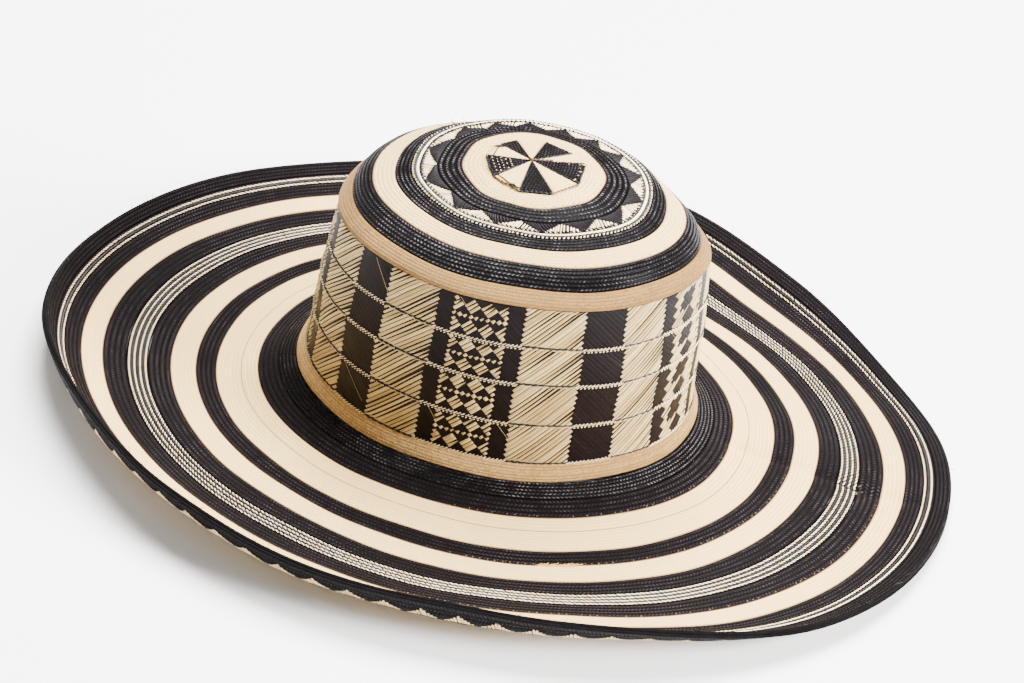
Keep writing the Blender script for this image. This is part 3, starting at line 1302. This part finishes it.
# Pale specks woven into the black petal on the left, in staggered rows
specks = np.array([
    (out, side + 0.17 * (row % 2))
    for row, out in enumerate(np.arange(0.5, 0.95, 0.1))
    for side in np.arange(-0.68, 0.69, 0.34)
])
spots = on_petal(SPECKLED_PETAL, *specks.T)
reach = np.array([0.0004, -0.0002])
star_strokes("star_petal_specks", spots - reach, spots + reach, width=0.0004, base=0.0018, lift=0.00015,
             look=STRIP_CREAM)

# Threads of the star: dark along the black petals' sides, and along most outer sides dark or amber
out = np.linspace(0.08, 1, 9)
for index in [i for i, (straw, _, _) in enumerate(PETALS) if straw == "black"]:
    for side in [-1, 1]:
        line = on_petal(index, out, 0.96 * side + 0 * out)
        star_strokes(f"star_side_thread_{index}_{side + 1}", line[:-1], line[1:], width=0.0006, base=0.0013,
                     lift=0.0005, look=THREAD_DARK, point=0)
edge = np.linspace(-1, 1, 8)
for index in [0, 1, 2, 3, 4, 6, 8]:
    wander = chance.uniform(0.992, 1.012, len(edge))
    line = on_petal(index, wander, edge)
    look, straw = (THREAD_AMBER, "natural") if index in (1, 3) else (THREAD_DARK, "black")
    star_strokes(f"star_edge_thread_{index}", line[:-1], line[1:], width=0.0008, base=0.0006, lift=0.0008,
                 look=look, point=0.2)

# The knot where the petals meet, pale stitches on the folded petal, and the thread that came loose
ends = chance.normal(0, 0.0009, (7, 2))
star_strokes("star_knot", MEETING + ends, MEETING - ends, width=0.0006, base=0.0016, lift=0.0007,
             look=THREAD_AMBER)
out = np.concatenate([np.full(5, 0.93), np.linspace(0.5, 0.9, 3)])
side = np.concatenate([np.linspace(-0.8, 0.8, 5), np.full(3, 0.75)])
begin = on_petal(FOLDED_PETAL, out, side)
star_strokes("star_fold_stitches", begin, begin + chance.normal(0, 0.0011, begin.shape), width=0.00025,
             base=0.0019, lift=0.0002, look=STRIP_CREAM)
fold = on_petal(FOLDED_PETAL, np.linspace(0.02, 0.4, 6), np.full(6, 1.05))
star_strokes("star_amber_fold", fold[:-1], fold[1:], width=0.0011, base=0.0016, lift=0.0009,
             look=THREAD_AMBER, point=0.2)
bend = np.radians(np.linspace(133, 259, 30))
path = np.stack([np.cos(bend), np.sin(bend)], axis=-1) * STAR_RADIUS
path *= (0.92 + 0.04 * np.sin(bend * 6))[:, None]
star_strokes("star_loose_thread", path[:-1], path[1:] * 1.002, width=0.0006, base=0.0015, lift=0.0006,
             look=THREAD_DARK, point=0)
knots = np.repeat(path[[3, 26]], 4, axis=0)
ends = chance.normal(0, 0.0009, knots.shape)
star_strokes("star_loose_knots", knots - ends, knots + ends, width=0.0008, base=0.0016, lift=0.0009,
             look=THREAD_DARK)

# The camera at the photo's angle to the hat, worked out in the hat's own frame
CAMERA_RISE = np.radians(36.256)
CAMERA_AWAY = 1.895
CAMERA_ROLL = np.radians(7.507)
CAMERA_TARGET = Vector((0.00523, -0.02152, 0.03917))
LENS = 128.7
SENSOR_WIDTH = 36
camera_data = bpy.data.cameras.new("camera")
camera_data.lens = LENS
camera_data.sensor_width = SENSOR_WIDTH
camera = bpy.data.objects.new("camera", camera_data)
bpy.context.scene.collection.objects.link(camera)
spot = Vector((0, -CAMERA_AWAY * np.cos(CAMERA_RISE), CAMERA_AWAY * np.sin(CAMERA_RISE)))
ahead = (CAMERA_TARGET - spot).normalized()
right = ahead.cross(Vector((0, 0, 1))).normalized()
up = right.cross(ahead)
rolled_right = right * np.cos(CAMERA_ROLL) + up * np.sin(CAMERA_ROLL)
rolled_up = up * np.cos(CAMERA_ROLL) - right * np.sin(CAMERA_ROLL)
turned = REST_TURN.to_matrix() @ Matrix((rolled_right, rolled_up, -ahead)).transposed()
camera.matrix_world = Matrix.LocRotScale(
    REST_TURN.to_matrix() @ spot + REST_SHIFT, turned.to_quaternion(), None
)
bpy.context.scene.camera = camera

# A pale floor and soft studio light
FLOOR_SIZE = 12
FLOOR_COLOUR = (0.9, 0.9, 0.9, 1)
FLOOR_ROUGHNESS = 0.8
WORLD_LIGHT = 0.78
bpy.ops.mesh.primitive_plane_add(size=FLOOR_SIZE)
floor = bpy.context.object
floor.name = "floor"
floor_look = bpy.data.materials.new("floor")
floor_look.use_nodes = True
floor_shader = floor_look.node_tree.nodes["Principled BSDF"]
floor_shader.inputs["Base Color"].default_value = FLOOR_COLOUR
floor_shader.inputs["Roughness"].default_value = FLOOR_ROUGHNESS
floor.data.materials.append(floor_look)

world = bpy.data.worlds.new("studio")
world.use_nodes = True
background = world.node_tree.nodes["Background"]
background.inputs["Color"].default_value = (1, 1, 1, 1)
background.inputs["Strength"].default_value = WORLD_LIGHT
bpy.context.scene.world = world

# Square lamps that face the middle of the floor: name, place, size and power in watts
LIGHTS = [
    ("light_above", (0.1, 0.7, 2.2), 1.6, 370),
    ("light_right", (2.0, -0.9, 1.2), 0.9, 320),
]
for name, place, size, power in LIGHTS:
    data = bpy.data.lights.new(name, "AREA")
    data.size = size
    data.energy = power
    lamp = bpy.data.objects.new(name, data)
    lamp.location = place
    lamp.rotation_euler = (-Vector(place)).to_track_quat("-Z", "Y").to_euler()
    bpy.context.scene.collection.objects.link(lamp)
